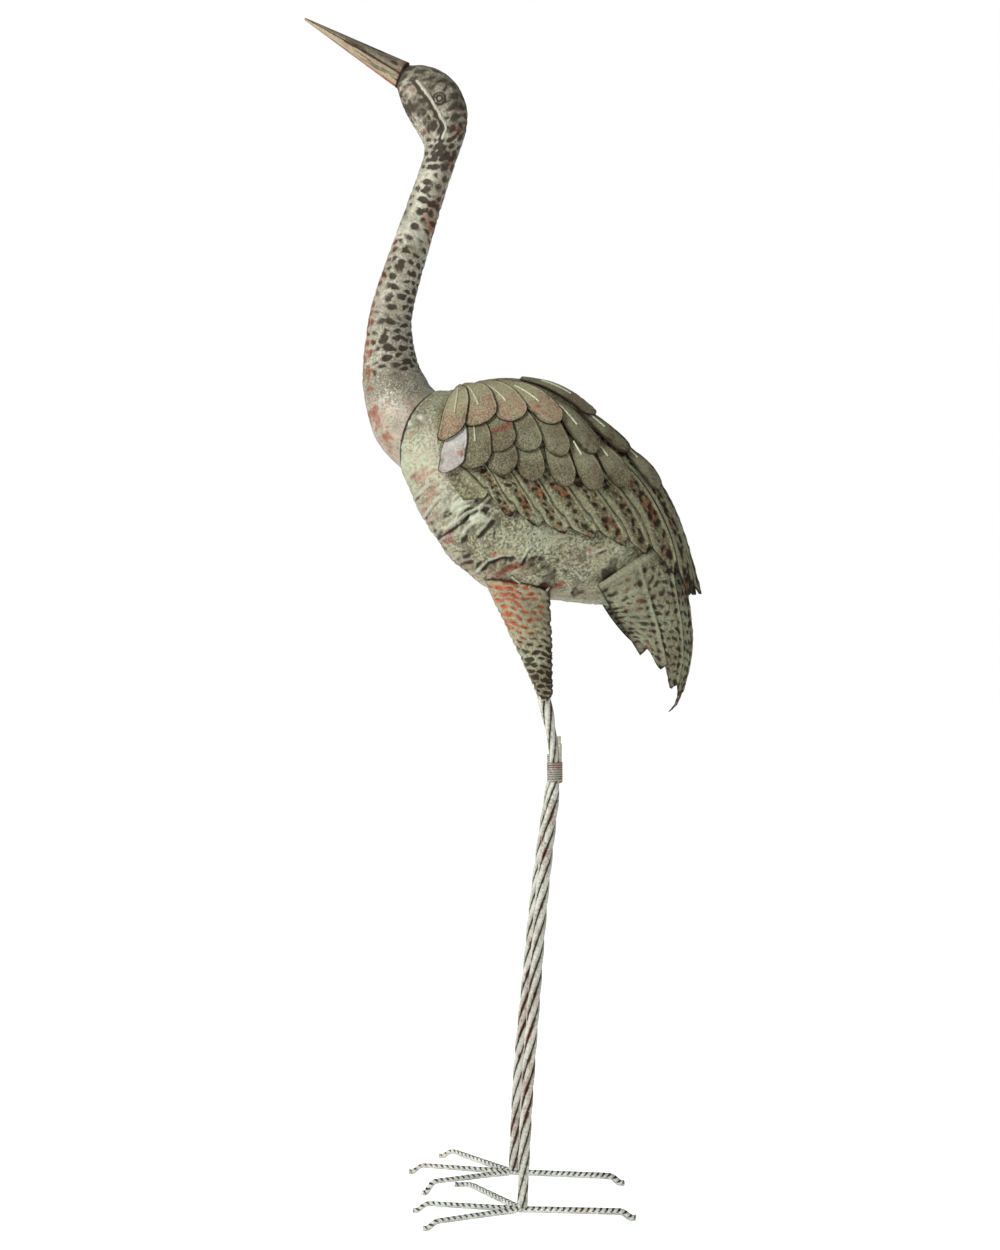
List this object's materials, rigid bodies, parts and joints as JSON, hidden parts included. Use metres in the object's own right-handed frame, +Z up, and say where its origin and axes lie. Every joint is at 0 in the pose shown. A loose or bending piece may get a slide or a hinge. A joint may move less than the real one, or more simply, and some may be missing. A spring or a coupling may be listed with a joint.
{
  "type": "garden statue",
  "caption": "Standing crane in patinated sheet iron, head raised, layered feather leaves on the wings, on twisted-rod legs with long toes.",
  "frame": {"origin": "on the ground, under the middle of the statue's outline seen from above", "axes": "+Z up; the beak points to -X and the bird's left side is -Y"},
  "size_m": [0.3762, 0.202, 1.121],
  "materials": {
    "beak": "painted dark green-grey over pale yellow-green, worn to rust along the lower edge",
    "head_and_neck": "hammered sheet, grey-green patina with dark brown cells and rust patches, satin",
    "body": "hammered sheet, pale grey-green patina with pinkish and rust-red streaks, satin",
    "wing": "pressed sheet, olive-green patina with dark brown mottling, satin",
    "leaf": "thin sheet leaves, tan-green patina with fine dark speckle, satin",
    "tail": "pressed sheet, grey-green patina with rows of dark brown dashes, satin",
    "thigh": "sheet cone, green patina with orange-red stripes above and dark scallops below",
    "leg_rod": "twisted rod, mint-white on the ridges and rust-brown in the grooves",
    "binding_wire": "grey drawn wire, dull",
    "toe": "twisted square bar, mint-white faces and black-brown grooves, rusty at some tips"
  },
  "bodies": {
    "root": {"beak": "beak", "body": "body", "head_and_neck": "head_and_neck", "left_knee_wrap": "binding_wire", "left_leaf_1_1": "leaf", "left_leaf_1_2": "leaf", "left_leaf_1_3": "leaf", "left_leaf_1_4": "leaf", "left_leaf_1_5": "leaf", "left_leaf_2_1": "leaf", "left_leaf_2_2": "leaf", "left_leaf_2_3": "leaf", "left_leaf_2_4": "leaf", "left_leaf_2_5": "leaf", "left_leaf_2_6": "leaf", "left_leaf_2_7": "leaf", "left_leaf_3_1": "leaf", "left_leaf_3_2": "leaf", "left_leaf_3_3": "leaf", "left_leaf_3_4": "leaf", "left_leaf_3_5": "leaf", "left_leaf_3_6": "leaf", "left_lower_leg": "leg_rod", "left_thigh": "thigh", "left_toe_front": "toe", "left_toe_inner": "toe", "left_toe_outer": "toe", "left_toe_rear": "toe", "left_upper_leg": "leg_rod", "left_wing": "wing", "right_knee_wrap": "binding_wire", "right_leaf_1_1": "leaf", "right_leaf_1_2": "leaf", "right_leaf_1_3": "leaf", "right_leaf_1_4": "leaf", "right_leaf_1_5": "leaf", "right_leaf_2_1": "leaf", "right_leaf_2_2": "leaf", "right_leaf_2_3": "leaf", "right_leaf_2_4": "leaf", "right_leaf_2_5": "leaf", "right_leaf_2_6": "leaf", "right_leaf_2_7": "leaf", "right_leaf_3_1": "leaf", "right_leaf_3_2": "leaf", "right_leaf_3_3": "leaf", "right_leaf_3_4": "leaf", "right_leaf_3_5": "leaf", "right_leaf_3_6": "leaf", "right_lower_leg": "leg_rod", "right_thigh": "thigh", "right_toe_front": "toe", "right_toe_inner": "toe", "right_toe_outer": "toe", "right_toe_rear": "toe", "right_upper_leg": "leg_rod", "right_wing": "wing", "tail": "tail"}
  },
  "joints": []
}
